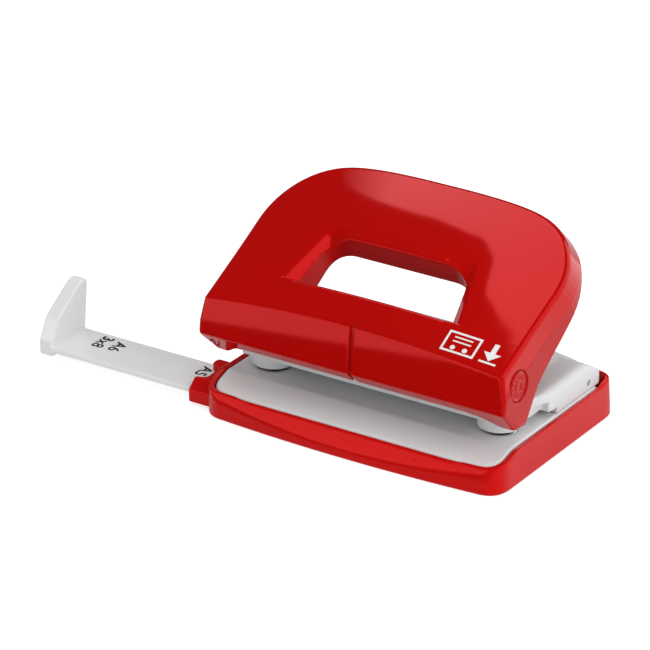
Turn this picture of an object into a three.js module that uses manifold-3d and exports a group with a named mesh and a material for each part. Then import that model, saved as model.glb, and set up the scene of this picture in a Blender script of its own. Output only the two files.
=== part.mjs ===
// Two-hole desk punch with a sliding paper guide.
// Millimetres, +X to the right, +Y to the back, +Z up. The origin lies on the table,
// halfway between the two punched holes.
import * as THREE from 'three';
import Module from 'manifold-3d';
import { mergeVertices } from 'three/addons/utils/BufferGeometryUtils.js';

const wasm = await Module();
wasm.setup();

// ---------------------------------------------------------------- driving dimensions
const gap = 0.3;

const punch = {
  halfSpacing: 40,
  radius: 2.75,
  tipZ: 13.9,
  topZ: 33.6,
  grooveRadius: 2.2,
  grooveZ: 31.0,
  grooveHeight: 1.0,
};
const pivot = { y: -12.3, z: 33.2, radius: 2.5 };

const tray = {
  halfWidth: 52.3,
  frontY: -23.8,
  bowRadius: 568,
  backY: 50.2,
  backInnerY: 46.2,
  backLean: 0.2,
  cornerRadius: 8,
  wall: 1.8,
  floor: 1.6,
  frontRimY: -20.9,
  frontLedgeY: -19.2,
  sideHeight: 11.5,
  frontHeight: 8.9,
  backHeight: 13.4,
};
const facet = { bottomZ: 3.2, slope: 2 };

const plate = {
  halfWidth: 49.8,
  frontY: -20.6,
  topZ: 11.6,
  lipZ: 8.6,
  lipY: -10.5,
  bottomZ: 9,
  hingeY: 44.6,
  hingeZ: 10.3,
  hingeRadius: 1.3,
};

const guideBottomZ = 13.1;
const slotTopZ = 14.3;
const platformZ = 20;

const rail = {
  frontY: -16.2,
  backY: 2,
  topZ: 5,
  bottomZ: 3.2,
  innerEndX: 2,
  stopX: -112,
  stopThickness: 5,
};

const face = {
  slopeDeg: 26.5,
  frontY: -19.5,
  frontZ: 41.7,
  topV: 59.9,
  halfWidth: 51.6,
  flare: 2.3,
  flareDepth: 10.5,
  cornerFlare: 1.4,
};
const shellWall = 2.4;

const colours = {
  red: 0xb81414,
  grey: 0xd2d2d0,
  steel: 0xb4b6b8,
  spring: 0x8f9498,
};

// ---------------------------------------------------------------- solid helpers
function toSolid(geometry) {
  const bare = geometry.clone();
  bare.deleteAttribute('normal');
  bare.deleteAttribute('uv');
  const merged = mergeVertices(bare, 1e-4);
  const mesh = new wasm.Mesh({
    numProp: 3,
    vertProperties: new Float32Array(merged.attributes.position.array),
    triVerts: new Uint32Array(merged.index.array),
  });
  mesh.merge();
  return new wasm.Manifold(mesh);
}

function toGeometry(solid) {
  const mesh = solid.getMesh();
  const geometry = new THREE.BufferGeometry();
  geometry.setAttribute('position', new THREE.BufferAttribute(new Float32Array(mesh.vertProperties), 3));
  geometry.setIndex(new THREE.BufferAttribute(new Uint32Array(mesh.triVerts), 1));
  const flat = geometry.toNonIndexed();
  flat.computeVertexNormals();
  return flat;
}

// A closed outline through [a, b] points; a third number rounds that corner.
function roundedShape(points) {
  const shape = new THREE.Shape();
  const count = points.length;
  const vector = (i) => new THREE.Vector2(points[(i + count) % count][0], points[(i + count) % count][1]);
  points.forEach((point, i) => {
    const corner = vector(i);
    const before = vector(i - 1).sub(corner);
    const after = vector(i + 1).sub(corner);
    const radius = point[2] ?? 0;
    const angle = Math.abs(before.angleTo(after));
    const cut = radius / Math.tan(angle / 2);
    const start = corner.clone().addScaledVector(before.normalize(), cut);
    const end = corner.clone().addScaledVector(after.normalize(), cut);
    if (i === 0) shape.moveTo(start.x, start.y);
    else shape.lineTo(start.x, start.y);
    if (radius > 0) shape.quadraticCurveTo(corner.x, corner.y, end.x, end.y);
  });
  shape.closePath();
  return shape;
}

function extrude(shape, depth, options = {}) {
  return new THREE.ExtrudeGeometry(shape, { depth, bevelEnabled: false, curveSegments: 8, ...options });
}

// Outline in (x, y), raised from z0 to z1.
function prismZ(shape, z0, z1) {
  return extrude(shape, z1 - z0).translate(0, 0, z0);
}

// Outline in (y, z), run along X from x0 to x1.
function prismX(shape, x0, x1) {
  const axes = new THREE.Matrix4().makeBasis(
    new THREE.Vector3(0, 1, 0),
    new THREE.Vector3(0, 0, 1),
    new THREE.Vector3(1, 0, 0),
  );
  return extrude(shape, x1 - x0).applyMatrix4(axes).translate(x0, 0, 0);
}

// Outline in (x, z), run along Y from y0 to y1.
function prismY(shape, y0, y1) {
  const axes = new THREE.Matrix4().makeBasis(
    new THREE.Vector3(1, 0, 0),
    new THREE.Vector3(0, 0, 1),
    new THREE.Vector3(0, -1, 0),
  );
  return extrude(shape, y1 - y0).applyMatrix4(axes).translate(0, y1, 0);
}

function box(x0, x1, y0, y1, z0, z1) {
  const geometry = new THREE.BoxGeometry(x1 - x0, y1 - y0, z1 - z0);
  return toSolid(geometry.translate((x0 + x1) / 2, (y0 + y1) / 2, (z0 + z1) / 2));
}

function rodZ(x, y, z0, z1, radius, segments = 40) {
  const geometry = new THREE.CylinderGeometry(radius, radius, z1 - z0, segments);
  return toSolid(geometry.rotateX(Math.PI / 2).translate(x, y, (z0 + z1) / 2));
}

function rodX(x0, x1, y, z, radius, segments = 40) {
  const geometry = new THREE.CylinderGeometry(radius, radius, x1 - x0, segments);
  return toSolid(geometry.rotateZ(Math.PI / 2).translate((x0 + x1) / 2, y, z));
}

// Solid of revolution about an upright line; profile points are [radius, z].
function turned(x, y, profile, segments = 40) {
  const outline = profile.map(([r, z]) => new THREE.Vector2(r, z));
  const geometry = new THREE.LatheGeometry(outline, segments);
  return toSolid(geometry.rotateX(Math.PI / 2)).translate([x, y, 0]);
}

function union(solids) {
  return solids.reduce((sum, solid) => sum.add(solid));
}

function mirrored(solid) {
  return solid.mirror([1, 0, 0]);
}

// ---------------------------------------------------------------- materials
function plastic(colour) {
  return new THREE.MeshStandardMaterial({ color: colour, roughness: 0.35, metalness: 0 });
}

function metal(colour) {
  return new THREE.MeshStandardMaterial({ color: colour, roughness: 0.3, metalness: 1 });
}

// ---------------------------------------------------------------- chip tray
// Footprint with a gently bowed front edge, shrunk on every side by inset.
function footprint(inset) {
  const half = tray.halfWidth - inset;
  const back = tray.backY - inset;
  const radius = Math.max(tray.cornerRadius - inset, 1);
  const bow = (x) => tray.frontY + inset + (x * x) / (2 * tray.bowRadius);
  const steps = 12;
  const reach = half - radius;
  const points = [];
  for (let i = 0; i <= steps; i += 1) {
    const x = -reach + (2 * reach * i) / steps;
    points.push([x, bow(x)]);
  }
  points.push([half, bow(reach), radius]);
  points.push([half, back, radius]);
  points.push([-half, back, radius]);
  points.push([-half, bow(reach), radius]);
  return roundedShape(points);
}

// Side view of the rim: low in front, level at the sides, higher at the back.
function rimCutter() {
  const far = 60;
  return toSolid(prismX(roundedShape([
    [-far, tray.frontHeight],
    [plate.frontY, tray.frontHeight],
    [plate.lipY, tray.sideHeight, 3],
    [plate.hingeY - 6, tray.sideHeight, 3],
    [plate.hingeY, tray.backHeight, 3],
    [far, tray.backHeight],
    [far, far],
    [-far, far],
  ]), -70, 70));
}

// The front wall leans back above a lens-shaped crease.
function facetCutter() {
  const low = tray.frontY - 4;
  const at = (y) => facet.bottomZ + facet.slope * (y - tray.frontY);
  return toSolid(prismX(roundedShape([
    [low, at(low)],
    [tray.frontY + 6, at(tray.frontY + 6)],
    [tray.frontY + 6, 40],
    [low, 40],
  ]), -70, 70));
}

// The back wall leans in towards its rim.
function backCutter() {
  const lean = (z) => tray.backY - tray.backLean * z;
  return toSolid(prismX(roundedShape([
    [lean(-1), -1],
    [60, -1],
    [60, 30],
    [lean(30), 30],
  ]), -70, 70));
}

// Wing on the left wall that covers the guide rail where it comes out.
function guideWing() {
  const wallX = -tray.halfWidth + 1.5;
  const topZ = 8.5;
  const outline = roundedShape([
    [-59.9, -16.8, 0.8],
    [wallX, -16.8],
    [wallX, -0.6],
    [-60.2, -0.6, 1.5],
    [-60.2, -4, 1.5],
    [-56.5, -5, 1.5],
    [-56.1, -12.8, 2],
    [-59.9, -13.6, 0.8],
  ]);
  const sideView = roundedShape([
    [-16.8, 2.2],
    [-16.8, 5, 0.6],
    [-13.4, topZ - 0.4, 1],
    [-0.6, topZ],
    [-0.6, rail.topZ + gap],
    [rail.frontY - 0.2, rail.topZ + gap],
    [rail.frontY - 0.2, 2.2],
  ]);
  return toSolid(prismZ(outline, 1, 12)).intersect(toSolid(prismX(sideView, -64, -50)));
}

// Ribs on the floor that the rail slides on, and hooks that keep it down and straight.
function railGuides() {
  const hookTopZ = rail.topZ + 1.1;
  const [x0, x1] = [-50.8, -43];
  const frontY = rail.frontY - 0.4;
  const backY = rail.backY + 0.4;
  return union([
    box(-51, 46, -12.6, -11.4, 1, rail.bottomZ - gap),
    box(-51, 46, -3.6, -2.4, 1, rail.bottomZ - gap),
    box(x0, x1, frontY - 1.6, frontY, 1, hookTopZ),
    box(x0, x1, frontY - 1, frontY + 1.4, rail.topZ + gap, hookTopZ),
    box(x0, x1, backY, backY + 1.6, 1, hookTopZ),
    box(x0, x1, backY - 1.4, backY + 1, rail.topZ + gap, hookTopZ),
  ]);
}

// Ribs on the side walls that the base plate rests over: [side, y].
const postPoints = [[-1, 12], [-1, 36], [1, 12], [1, 36]];

function chipTray() {
  const hollow = toSolid(prismZ(footprint(tray.wall), tray.floor, 30))
    .intersect(box(-60, 60, -60, tray.backInnerY, 0, 40));
  const ledgeZ = plate.lipZ - 2.7;
  const inner = hollow
    .intersect(box(-60, 60, tray.frontLedgeY, 60, 0, 40))
    .add(hollow.intersect(box(-60, 60, tray.frontRimY, 60, ledgeZ, 40)));
  const posts = postPoints.map(([side, y]) => {
    const [x0, x1] = side > 0 ? [45.5, 51.5] : [-51.5, -45.5];
    return box(x0, x1, y - 1, y + 1, 1, plate.bottomZ - gap);
  });
  const frontRibs = [-24, 0, 24].map((x) => box(x - 0.8, x + 0.8, tray.frontY + 1, -18.4, 1, 5.6));
  return toSolid(prismZ(footprint(0), 0, 20))
    .subtract(inner)
    .add(union(posts))
    .add(union(frontRibs))
    .add(railGuides())
    .add(guideWing())
    .subtract(rimCutter())
    .subtract(facetCutter())
    .subtract(backCutter())
    .subtract(box(-64, -49, rail.frontY - 0.2, rail.backY + 0.4, rail.bottomZ - gap, rail.topZ + gap));
}

// ---------------------------------------------------------------- base plate
// The front lip slopes down to the front edge; the back edge is round about the hinge line.
function basePlate() {
  const sideView = roundedShape([
    [plate.frontY, plate.lipZ - 1.6],
    [plate.frontY, plate.lipZ, 0.8],
    [plate.lipY, plate.topZ, 4],
    [plate.hingeY, plate.topZ],
    [plate.hingeY, plate.hingeZ - plate.hingeRadius],
    [plate.lipY, plate.bottomZ],
    [plate.frontY + 2, plate.lipZ - 2.4],
  ]);
  const clearance = tray.halfWidth - plate.halfWidth;
  const behindFront = box(-60, 60, plate.frontY, 60, 0, 40);
  const outline = toSolid(prismZ(footprint(clearance), 0, 40)).intersect(behindFront);
  const slab = toSolid(prismX(sideView, -plate.halfWidth, plate.halfWidth)).intersect(outline);
  const knuckle = rodX(-46, 46, plate.hingeY, plate.hingeZ, plate.hingeRadius, 24);
  const skirtRing = toSolid(prismZ(footprint(clearance), 6.4, plate.bottomZ + 0.5))
    .subtract(toSolid(prismZ(footprint(clearance + 1.3), 6, plate.bottomZ + 1)))
    .subtract(box(-60, 60, 34, 60, 0, 20))
    .subtract(box(-60, 60, -30, -16, 0, 20))
    .subtract(box(-52, -44, -17, 8, 0, plate.bottomZ));
  const postGaps = postPoints.map(([side, y]) => {
    const [x0, x1] = side > 0 ? [44, 52] : [-52, -44];
    return box(x0, x1, y - 1.6, y + 1.6, 0, plate.bottomZ);
  });
  let solid = slab.add(knuckle).add(skirtRing).subtract(union(postGaps));
  solid = solid.subtract(box(-60, -46, 40, 60, 0, 40)).subtract(box(46, 60, 40, 60, 0, 40));
  for (const x of [-punch.halfSpacing, punch.halfSpacing]) {
    solid = solid.subtract(rodZ(x, 0, 0, 20, die.radius + 0.05));
  }
  for (const [x, y] of screwPoints) {
    solid = solid.subtract(rodZ(x, y, 0, 20, screw.radius + 0.1, 24));
  }
  return solid;
}

// ---------------------------------------------------------------- dies
const die = {
  radius: 5.4,
  topZ: plate.topZ - 0.05,
  bottomZ: plate.bottomZ - 0.2,
  bore: punch.radius + 0.06,
};

function dieBush(x) {
  return turned(x, 0, [
    [die.bore, die.bottomZ],
    [die.radius, die.bottomZ],
    [die.radius, die.topZ - 0.3],
    [die.radius - 0.3, die.topZ],
    [die.bore, die.topZ],
    [die.bore, die.bottomZ],
  ]);
}

// ---------------------------------------------------------------- screws
const screw = { radius: 1.4, headRadius: 2.7, headHeight: 1.6, topZ: 17.5 };
const screwPoints = [[-42, 22], [42, 22], [-42, 36], [42, 36]];

function bodyScrew(x, y) {
  const underside = plate.bottomZ - 0.1;
  const low = underside - screw.headHeight;
  const solid = turned(x, y, [
    [0, low],
    [screw.headRadius - 0.5, low],
    [screw.headRadius, low + 0.6],
    [screw.headRadius, underside],
    [screw.radius, underside],
    [screw.radius, screw.topZ - 1],
    [0, screw.topZ],
  ], 24);
  const slot = (angle) => toSolid(new THREE.BoxGeometry(3.2, 0.7, 1.4)
    .rotateZ(angle)
    .translate(x, y, low));
  return solid.subtract(slot(Math.PI / 4)).subtract(slot(-Math.PI / 4));
}

// ---------------------------------------------------------------- upper housing
const housing = {
  halfWidth: 47,
  rearSpread: 3.2,
  frontY: -7,
  stopY: 12,
  rearY: 20.8,
  backY: 43.6,
  bottomZ: plate.topZ + gap,
  wall: 2,
};
const hump = { halfWidth: 44, frontZ: 28.5, backZ: 23.4, frontY: 9 };
const cheek = { inner: 44.4, outer: 46.7, lugRadius: 5.2 };

function deckProfile(inset) {
  return roundedShape([
    [housing.frontY + inset, 5],
    [housing.frontY + inset, platformZ - inset],
    [housing.stopY + inset, platformZ + 1 - inset, 2],
    [34.5, platformZ + 1 - inset, 5],
    [42.2 - inset, 16.2 - inset, 2],
    [housing.backY - inset, 12],
    [housing.backY - inset, 5],
  ]);
}

function humpProfile(inset) {
  return roundedShape([
    [hump.frontY + inset, 10],
    [hump.frontY + inset, platformZ - inset],
    [hump.frontY + 3 + inset, hump.frontZ - inset, 2],
    [34, hump.backZ - inset, 8],
    [42 - inset, 17.6 - inset, 2],
    [housing.backY - 0.4 - inset, 10],
  ]);
}

// Front view with sides that lean in towards the top.
function leaningSides(halfWidth, topHalfWidth, z0, z1, radius) {
  return toSolid(prismY(roundedShape([
    [-halfWidth, z0],
    [halfWidth, z0],
    [topHalfWidth, z1, radius],
    [-topHalfWidth, z1, radius],
  ]), -30, 60));
}

function housingSkin(inset) {
  const half = housing.halfWidth - inset;
  const humpHalf = hump.halfWidth - inset;
  const wideHalf = half + housing.rearSpread;
  const plan = toSolid(prismZ(roundedShape([
    [-half, -30],
    [half, -30],
    [half, housing.rearY + inset],
    [wideHalf, housing.rearY + inset],
    [wideHalf, housing.backY - inset, 4.5 - inset],
    [-wideHalf, housing.backY - inset, 4.5 - inset],
    [-wideHalf, housing.rearY + inset],
    [-half, housing.rearY + inset],
  ]), 0, 40));
  const deck = toSolid(prismX(deckProfile(inset), -wideHalf, wideHalf))
    .intersect(leaningSides(wideHalf, wideHalf, 0, platformZ + 1 - inset, 5))
    .intersect(plan);
  const top = toSolid(prismX(humpProfile(inset), -humpHalf, humpHalf))
    .intersect(leaningSides(humpHalf + 9.2, humpHalf - 16.4, 10, 30, 2));
  return deck.add(top);
}

function cheekPlate() {
  const sideView = roundedShape([
    [0, slotTopZ, 2],
    [-10, 20.2, 2],
    [-14.2, 25, 3],
    [pivot.y - 3, pivot.z],
    [pivot.y + 4.6, pivot.z],
    [-3.2, platformZ + 1, 4],
    [8, platformZ, 2],
    [8, slotTopZ, 0.5],
  ]);
  return toSolid(prismX(sideView, cheek.inner, cheek.outer))
    .add(rodX(cheek.inner, cheek.outer, pivot.y, pivot.z, cheek.lugRadius, 56))
    .subtract(rodX(cheek.inner - 1, cheek.outer + 1, pivot.y, pivot.z, pivot.radius + 0.06));
}

function punchGuide(x) {
  return rodZ(x, 0, guideBottomZ, platformZ + 1.2, 6.9, 56);
}

function upperHousing() {
  let shell = housingSkin(0)
    .subtract(housingSkin(housing.wall).intersect(box(-60, 60, housing.stopY + 2.2, 60, 0, 60)));
  const throat = box(-60, 60, -30, housing.stopY, 0, 17.2);
  shell = shell
    .subtract(throat)
    .subtract(box(-60, 60, -30, 60, 0, housing.bottomZ))
    .subtract(box(-60, -43.6, -30, housing.rearY, 0, slotTopZ))
    .subtract(box(43.6, 60, -30, housing.rearY, 0, slotTopZ));
  const skirt = box(45.2, housing.halfWidth, 0, 12.5, slotTopZ, 19);
  const crossWall = box(-45.5, 45.5, -9, -6.8, 17.2, platformZ);
  const right = cheekPlate().add(skirt);
  const posts = screwPoints.map(([x, y]) => rodZ(x, y, housing.bottomZ, 18, 3.2, 24));
  let solid = shell
    .add(crossWall)
    .add(right)
    .add(mirrored(right))
    .add(punchGuide(-punch.halfSpacing))
    .add(punchGuide(punch.halfSpacing))
    .add(union(posts));
  for (const x of [-punch.halfSpacing, punch.halfSpacing]) {
    solid = solid.subtract(rodZ(x, 0, 5, 25, punch.radius + 0.08));
  }
  for (const [x, y] of screwPoints) {
    solid = solid.subtract(rodZ(x, y, 5, screw.topZ + 0.2, screw.radius + 0.05, 24));
  }
  return solid.subtract(rodX(48, 52, 35.3, 14, 0.7, 16));
}

// ---------------------------------------------------------------- punches, springs, retainers
function punchPin(x) {
  const notch = toSolid(prismX(roundedShape([
    [-5, punch.tipZ - 1],
    [5, punch.tipZ - 1],
    [0, punch.tipZ + 2],
  ]), x - 5, x + 5));
  return turned(x, 0, [
    [0, punch.tipZ],
    [punch.radius, punch.tipZ],
    [punch.radius, punch.grooveZ],
    [punch.grooveRadius, punch.grooveZ],
    [punch.grooveRadius, punch.grooveZ + punch.grooveHeight],
    [punch.radius, punch.grooveZ + punch.grooveHeight],
    [punch.radius, punch.topZ - 1],
    [1.6, punch.topZ],
    [0, punch.topZ],
  ], 48).subtract(notch);
}

const coil = {
  meanRadius: 3.9,
  wire: 0.4,
  turns: 4.5,
  bottomZ: platformZ + 1.7,
  topZ: punch.grooveZ - 0.7,
};

class Helix extends THREE.Curve {
  constructor(x) {
    super();
    this.x = x;
  }

  getPoint(t, target = new THREE.Vector3()) {
    const angle = 2 * Math.PI * coil.turns * t;
    const z = coil.bottomZ + (coil.topZ - coil.bottomZ) * t;
    return target.set(
      this.x + coil.meanRadius * Math.cos(angle),
      coil.meanRadius * Math.sin(angle),
      z,
    );
  }
}

function returnSpring(x) {
  const section = new THREE.Shape();
  section.absarc(0, 0, coil.wire, 0, 2 * Math.PI);
  return toSolid(new THREE.ExtrudeGeometry(section, {
    steps: Math.round(coil.turns * 18),
    extrudePath: new Helix(x),
    bevelEnabled: false,
    curveSegments: 5,
  }));
}

// Snap ring in the punch's groove; the spring pushes against it.
function retainer(x) {
  const low = punch.grooveZ + 0.1;
  const high = punch.grooveZ + punch.grooveHeight - 0.1;
  const ring = turned(x, 0, [
    [punch.grooveRadius + 0.05, low],
    [4.9, low],
    [4.9, high],
    [punch.grooveRadius + 0.05, high],
    [punch.grooveRadius + 0.05, low],
  ]);
  return ring.subtract(box(x - 1.5, x + 1.5, 0, 6, low - 1, high + 1));
}

// ---------------------------------------------------------------- handle
const faceAngle = THREE.MathUtils.degToRad(face.slopeDeg);

// Frame on the sloping face: x across, v up the slope, n out of the face.
function faceFrame() {
  return new THREE.Matrix4()
    .makeBasis(
      new THREE.Vector3(1, 0, 0),
      new THREE.Vector3(0, Math.cos(faceAngle), Math.sin(faceAngle)),
      new THREE.Vector3(0, -Math.sin(faceAngle), Math.cos(faceAngle)),
    )
    .setPosition(0, face.frontY, face.frontZ);
}

// The face is a shallow dome: it bulges along the slope and falls away to both sides.
function crown(x, v) {
  const along = 1.1 * (1 - ((v - 30) / 30) ** 2);
  const side = Math.min((x / face.halfWidth) ** 2, 1.2);
  return along * (1 - side) - 2.6 * side;
}

function domedBlock(inset) {
  const geometry = new THREE.BoxGeometry(112, 104, 60, 16, 16, 1).translate(0, 26, -30);
  const position = geometry.attributes.position;
  for (let i = 0; i < position.count; i += 1) {
    if (position.getZ(i) > -1) {
      position.setZ(i, crown(position.getX(i), position.getY(i)) - inset);
    }
  }
  return toSolid(geometry.applyMatrix4(faceFrame()));
}

// Handle outline on the face: straight sides and a wide arched top.
function faceOutline() {
  const half = face.halfWidth;
  const top = face.topV;
  const shoulder = 32;
  const flareStart = 14;
  const arch = [33, top - 2];
  const shape = new THREE.Shape();
  shape.moveTo(-half, -40);
  shape.lineTo(half, -40);
  shape.lineTo(half, flareStart);
  shape.lineTo(half, shoulder);
  shape.bezierCurveTo(half, shoulder + 10.5, arch[0] + 13, arch[1] - 3.4, arch[0], arch[1]);
  shape.bezierCurveTo(arch[0] - 8, top + 0.1, 12, top + 0.1, 0, top);
  shape.bezierCurveTo(-12, top + 0.1, 8 - arch[0], top + 0.1, -arch[0], arch[1]);
  shape.bezierCurveTo(-arch[0] - 13, arch[1] - 3.4, -half, shoulder + 10.5, -half, shoulder);
  shape.lineTo(-half, flareStart);
  shape.closePath();
  return shape;
}

// The sides spread just below the face, most at the upper corners, then run straight down.
function flaredBlock(inset) {
  const frontN = 1.2;
  const reach = 50;
  const geometry = new THREE.ExtrudeGeometry(faceOutline(), {
    depth: reach,
    curveSegments: 10,
    bevelEnabled: true,
    bevelSegments: 1,
    bevelThickness: face.flareDepth,
    bevelSize: face.flare,
    bevelOffset: -0.4 - inset,
  });
  geometry.translate(0, 0, frontN - reach - face.flareDepth);
  const position = geometry.attributes.position;
  for (let i = 0; i < position.count; i += 1) {
    const [x, v, n] = [position.getX(i), position.getY(i), position.getZ(i)];
    const deep = THREE.MathUtils.clamp((frontN - n) / face.flareDepth, 0, 1);
    const atCorner = THREE.MathUtils.smoothstep(v, 15, 42) * THREE.MathUtils.smoothstep(Math.abs(x), 10, 40);
    const spread = face.cornerFlare * deep * atCorner;
    position.setX(i, x + Math.sign(x) * 0.8 * spread);
    position.setY(i, v + 0.6 * spread);
  }
  return toSolid(geometry.applyMatrix4(faceFrame()));
}

// Side view of the handle: upright nose, cut-back chin, rounded tip, sloping rear edge.
function handleSideView() {
  return roundedShape([
    [-21.1, 27, 2],
    [-12.6, 18.5, 3.5],
    [-7, 18.3, 2.5],
    [0.1, 28.9, 4],
    [50, 71.5],
    [50, 110],
    [-18, 110],
    [-18, 52],
  ]);
}

// The hollow behind the nose and face, with a turned-in chin along the nose.
function hollowSideView() {
  return roundedShape([
    [-21.1 + shellWall, 28, 1],
    [-15.4, 24.7],
    [-17.4, 22.7],
    [-22, 18.1],
    [-22, 0],
    [60, 0],
    [60, 110],
    [-18 + shellWall, 110],
    [-18 + shellWall, 52],
  ]);
}

const win = { bottomV: 11.5, topV: 30.4, bottomHalf: 27.2, topHalf: 24 };

function windowOutline(offset) {
  return roundedShape([
    [-win.bottomHalf - offset, win.bottomV - offset, 2 + offset],
    [win.bottomHalf + offset, win.bottomV - offset, 2 + offset],
    [win.topHalf + offset, win.topV + offset, 8 + offset],
    [-win.topHalf - offset, win.topV + offset, 8 + offset],
  ]);
}

function windowPrism(offset, depth) {
  const geometry = extrude(windowOutline(offset), depth + 5, { curveSegments: 10 });
  return toSolid(geometry.translate(0, 0, -depth).applyMatrix4(faceFrame()));
}

// Sloping cut on either side of the window, fading out above it.
const facetCut = { bottomHalf: 30.7, topHalf: 27.8, topV: 34.5, width: 3.6, depth: 3.4 };

function windowFacets() {
  const { bottomHalf, topHalf, topV, width, depth } = facetCut;
  const lean = (bottomHalf - topHalf) / (topV - win.bottomV);
  const geometry = extrude(roundedShape([
    [bottomHalf, win.bottomV],
    [topHalf, topV],
    [topHalf - 3, topV - 0.6],
    [win.topHalf - 4, win.topV - 1],
    [win.topHalf - 2, win.topV - 6],
    [bottomHalf - width - 1, win.bottomV],
  ]), 5);
  const position = geometry.attributes.position;
  for (let i = 0; i < position.count; i += 1) {
    const v = position.getY(i);
    const outer = bottomHalf - lean * (v - win.bottomV);
    const inward = THREE.MathUtils.clamp((outer - position.getX(i)) / width, 0, 1);
    const fade = THREE.MathUtils.clamp((topV + 1 - v) / 8, 0, 1);
    if (position.getZ(i) < 1) position.setZ(i, -0.4 - depth * inward * fade);
  }
  const right = toSolid(geometry.applyMatrix4(faceFrame()));
  return right.add(mirrored(right));
}

const rod = { y: 0, z: 36, radius: 2, halfLength: 50 };
const cap = { radius: 5.3, thickness: 0.9, outerX: 53.4 };

// Pads inside the side walls that carry the pivot pins and the press rod.
function sidePads() {
  const pivotPad = rodX(47.4, 52.6, pivot.y, pivot.z, 6);
  const rodPad = rodX(47.4, 52.4, rod.y, rod.z, 4, 32);
  return pivotPad.add(rodPad);
}

// The chin runs down into each side tip.
function chinGussets() {
  const band = toSolid(prismX(roundedShape([
    [-21.1, 27],
    [-12.6, 18.5],
    [-10.9, 20.2],
    [-19.4, 28.7],
  ]), -52, 52));
  const right = toSolid(prismY(roundedShape([
    [42, 23],
    [46, 22, 6],
    [50, 18.6],
    [52, 18.6],
    [52, 28],
    [42, 28],
  ]), -24, -10));
  return band.intersect(right.add(mirrored(right)));
}

// The window's inner walls reach down to a line parallel with the handle's rear edge.
function tubeSideView() {
  return toSolid(prismX(roundedShape([
    [-18, 90],
    [-18, 40],
    [-10, 32.6],
    [1, 37.4],
    [11.7, 48],
    [40, 76.3],
    [40, 90],
  ]), -40, 40));
}

function handleShell() {
  const rodRoom = rodX(-44, 44, rod.y, rod.z, rod.radius + 1, 32);
  const sideView = toSolid(prismX(handleSideView(), -70, 70));
  const hollowView = toSolid(prismX(hollowSideView(), -70, 70));
  const outer = domedBlock(0).intersect(flaredBlock(0)).intersect(sideView);
  const hollow = domedBlock(shellWall).intersect(flaredBlock(shellWall)).intersect(hollowView);
  const backing = windowPrism(7, 6.4).intersect(domedBlock(1)).intersect(sideView);
  const tube = windowPrism(2, 20).intersect(domedBlock(1)).intersect(tubeSideView()).subtract(rodRoom);
  let solid = outer
    .subtract(hollow)
    .add(backing)
    .add(tube)
    .add(chinGussets().intersect(sideView).intersect(flaredBlock(0)))
    .add(sidePads())
    .add(mirrored(sidePads()))
    .subtract(windowPrism(0, 40))
    .subtract(windowFacets());
  for (const side of [-1, 1]) {
    const x0 = side > 0 ? 46 : -60;
    const x1 = side > 0 ? 60 : -46;
    const seat = cap.outerX - cap.thickness - 0.1;
    solid = solid
      .subtract(rodX(x0, x1, pivot.y, pivot.z, pivot.radius + 0.03))
      .subtract(rodX(side > 0 ? seat : -60, side > 0 ? 60 : -seat, pivot.y, pivot.z, cap.radius + 0.1, 64))
      .subtract(rodX(side > 0 ? 45 : -rod.halfLength - 0.2, side > 0 ? rod.halfLength + 0.2 : -45,
        rod.y, rod.z, rod.radius + 0.03, 32));
  }
  const groove = prismX(roundedShape([
    [-24, 20],
    [-20.4, 20],
    [-16.5, 23.3],
    [-20.5, 27.3],
    [-18.9, 41.4],
    [-20, 46],
    [-24, 46],
  ]), -0.2, 0.8);
  return solid.subtract(toSolid(groove));
}

function pressRod() {
  return rodX(-rod.halfLength, rod.halfLength, rod.y, rod.z, rod.radius, 32);
}

// ---------------------------------------------------------------- pivot pins and caps
function pivotPin(side) {
  const inner = cheek.inner - 0.6;
  const outer = cap.outerX - cap.thickness - 0.3;
  return side > 0
    ? rodX(inner, outer, pivot.y, pivot.z, pivot.radius)
    : rodX(-outer, -inner, pivot.y, pivot.z, pivot.radius);
}

function pivotCap(side) {
  const x0 = cap.outerX - cap.thickness;
  let solid = rodX(x0, cap.outerX, pivot.y, pivot.z, cap.radius, 64);
  const ticks = 12;
  for (let i = 0; i < ticks; i += 1) {
    const angle = (2 * Math.PI * i) / ticks;
    const tick = new THREE.BoxGeometry(1, 0.7, 1.3).translate(cap.outerX + 0.2, 0, 3.9).rotateX(angle);
    solid = solid.subtract(toSolid(tick.translate(0, pivot.y, pivot.z)));
  }
  return side > 0 ? solid : mirrored(solid);
}

// ---------------------------------------------------------------- paper guide rail
function stopPlate() {
  const sideView = roundedShape([
    [rail.frontY + 0.1, 1.6, 0.6],
    [rail.frontY + 0.1, 6.5, 3],
    [-12.2, 13.4, 5],
    [-1.6, 20.4, 3],
    [1.2, 21.6, 1],
    [3.4, 21, 1.2],
    [3.2, 17, 3],
    [rail.backY, 6],
    [rail.backY, 1.6, 0.6],
  ]);
  return toSolid(prismX(sideView, rail.stopX - rail.stopThickness, rail.stopX));
}

function guideRail() {
  const section = roundedShape([
    [rail.frontY, rail.bottomZ],
    [rail.frontY, rail.topZ, 0.4],
    [-4.6, rail.topZ, 4],
    [rail.backY, rail.topZ - 0.4, 0.4],
    [rail.backY, rail.bottomZ],
  ]);
  return toSolid(prismX(section, rail.stopX - 1, rail.innerEndX)).add(stopPlate());
}

// ---------------------------------------------------------------- assembly
const group = new THREE.Group();
group.name = 'hole_punch';

function addPart(name, solid, material) {
  const mesh = new THREE.Mesh(toGeometry(solid), material);
  mesh.name = name;
  group.add(mesh);
}

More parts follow.
